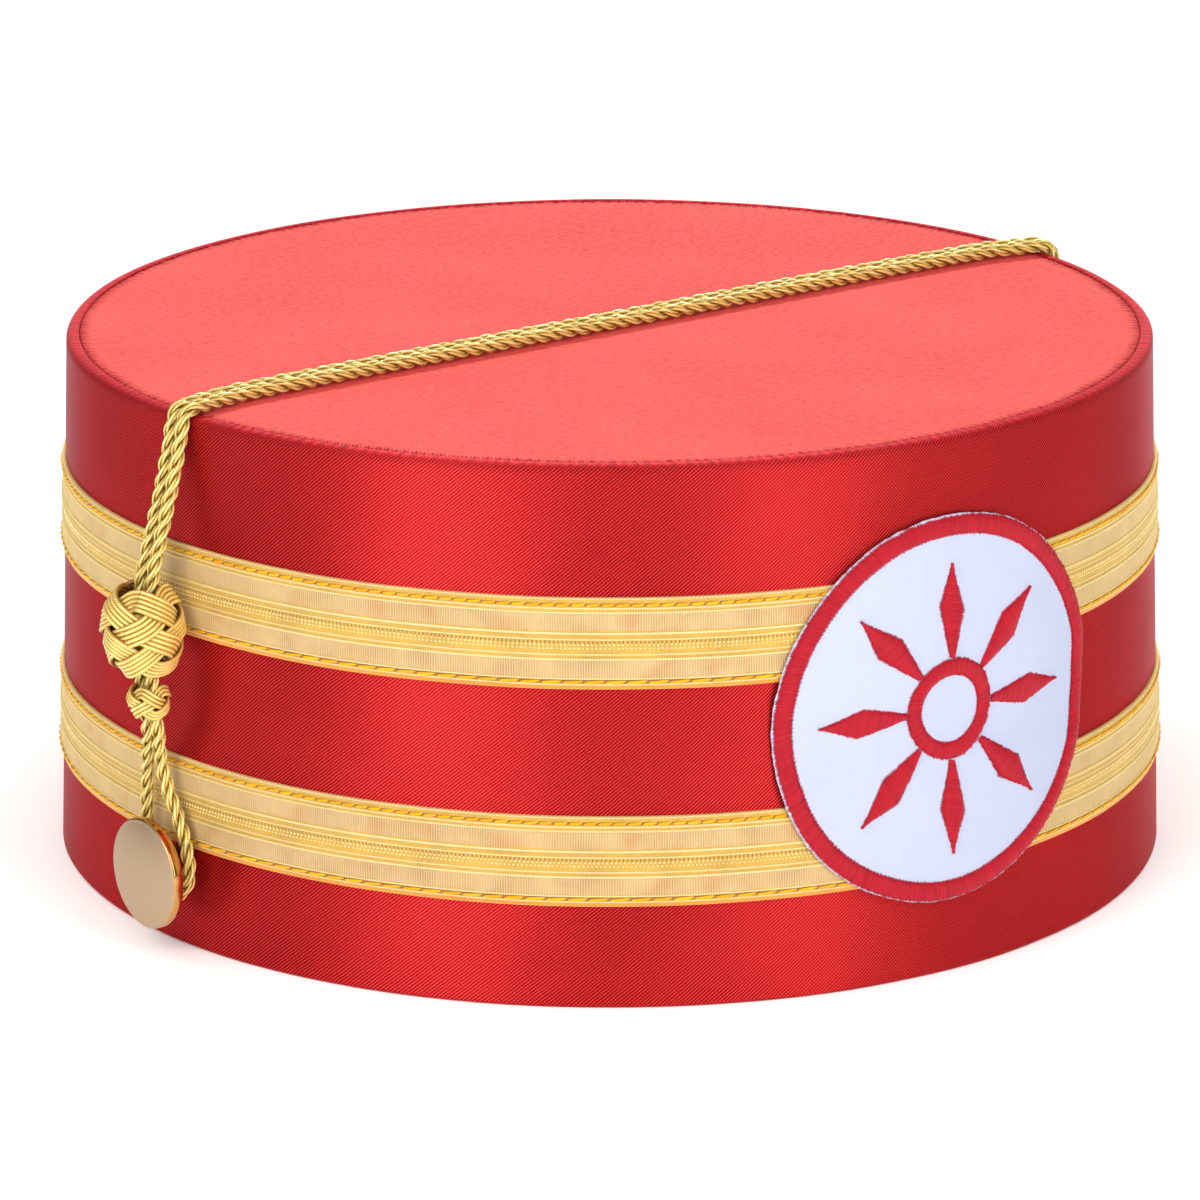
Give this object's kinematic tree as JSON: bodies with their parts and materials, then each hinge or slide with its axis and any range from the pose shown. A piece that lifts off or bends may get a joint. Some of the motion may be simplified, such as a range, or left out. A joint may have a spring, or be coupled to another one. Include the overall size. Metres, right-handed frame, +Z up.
{
  "type": "ceremonial crown cap",
  "caption": "Round flat-topped ceremonial cap of red satin with gold lace bands, an embroidered front patch, and a gold cord over the top, knotted at the sides and looped round buttons.",
  "frame": {"origin": "middle of the hem, on the plane the cap stands on", "axes": "+Z up through the flat top, -Y towards the front with the patch, +X to the right as seen from the front"},
  "size_m": [0.2197, 0.195, 0.0927],
  "materials": {
    "wall_satin": "red satin twill over board",
    "top_satin": "red satin, softly brushed",
    "gold_lace": "woven metallic lace",
    "white_twill": "white twill",
    "red_thread": "satin stitch embroidery",
    "gold_cord": "twisted metallic gimp",
    "button_gold": "satin face with a polished rim"
  },
  "bodies": {
    "root": {"crown_wall": "wall_satin", "top_panel": "top_satin", "upper_band": "gold_lace", "lower_band": "gold_lace", "patch_ground": "white_twill", "patch_border": "red_thread", "patch_rosette": "red_thread", "cord": "gold_cord", "slide_knot_left": "gold_cord", "small_knot_left": "gold_cord", "button_left": "button_gold", "slide_knot_right": "gold_cord", "small_knot_right": "gold_cord", "button_right": "button_gold"}
  },
  "joints": []
}
